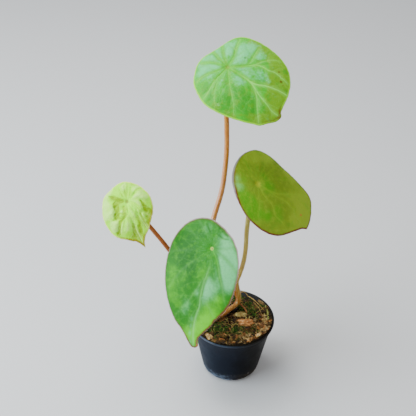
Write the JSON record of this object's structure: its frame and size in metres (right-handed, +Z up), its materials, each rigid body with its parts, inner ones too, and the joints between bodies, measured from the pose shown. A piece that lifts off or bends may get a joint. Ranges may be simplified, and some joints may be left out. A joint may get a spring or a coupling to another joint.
{
  "type": "potted begonia",
  "caption": "Potted peltate-leaf begonia: shield leaves on fleshy stalks from a creeping rhizome in a small black nursery pot of bark and moss.",
  "frame": {"origin": "centre of the pot's flat resting face", "axes": "+Z up along the pot's axis, -Y towards the front of the plant, +X to the viewer's right"},
  "size_m": [0.1739, 0.1257, 0.2974],
  "materials": {
    "pot_plastic": "thin black moulded plastic, slightly dusty satin",
    "substrate": "damp chopped bark, coir fibre and live moss",
    "bark_pale": "dry pale bark and straw",
    "bark_rust": "dry reddish bark",
    "rhizome": "brown-green fleshy stem with papery scars",
    "petiole": "fleshy orange-brown stalk with fine pale hairs",
    "petiole_ochre": "fleshy tan to ochre stalk with fine pale hairs",
    "leaf_green": "soft satin leaf, pale veins, cool sheen",
    "leaf_olive": "olive leaf lit through, red-brown margin",
    "leaf_young": "young lime leaf, puckered between the veins"
  },
  "bodies": {
    "root": {"pot": "pot_plastic", "substrate": "substrate", "bark_pale": "bark_pale", "bark_rust": "bark_rust", "bark_straw": "bark_pale", "twig": "bark_rust", "rhizome": "rhizome", "petiole_1": "petiole", "petiole_2": "petiole_ochre", "petiole_3": "petiole", "petiole_4": "petiole", "leaf_1": "leaf_green", "leaf_2": "leaf_olive", "leaf_3": "leaf_young", "leaf_4": "leaf_green"}
  },
  "joints": []
}
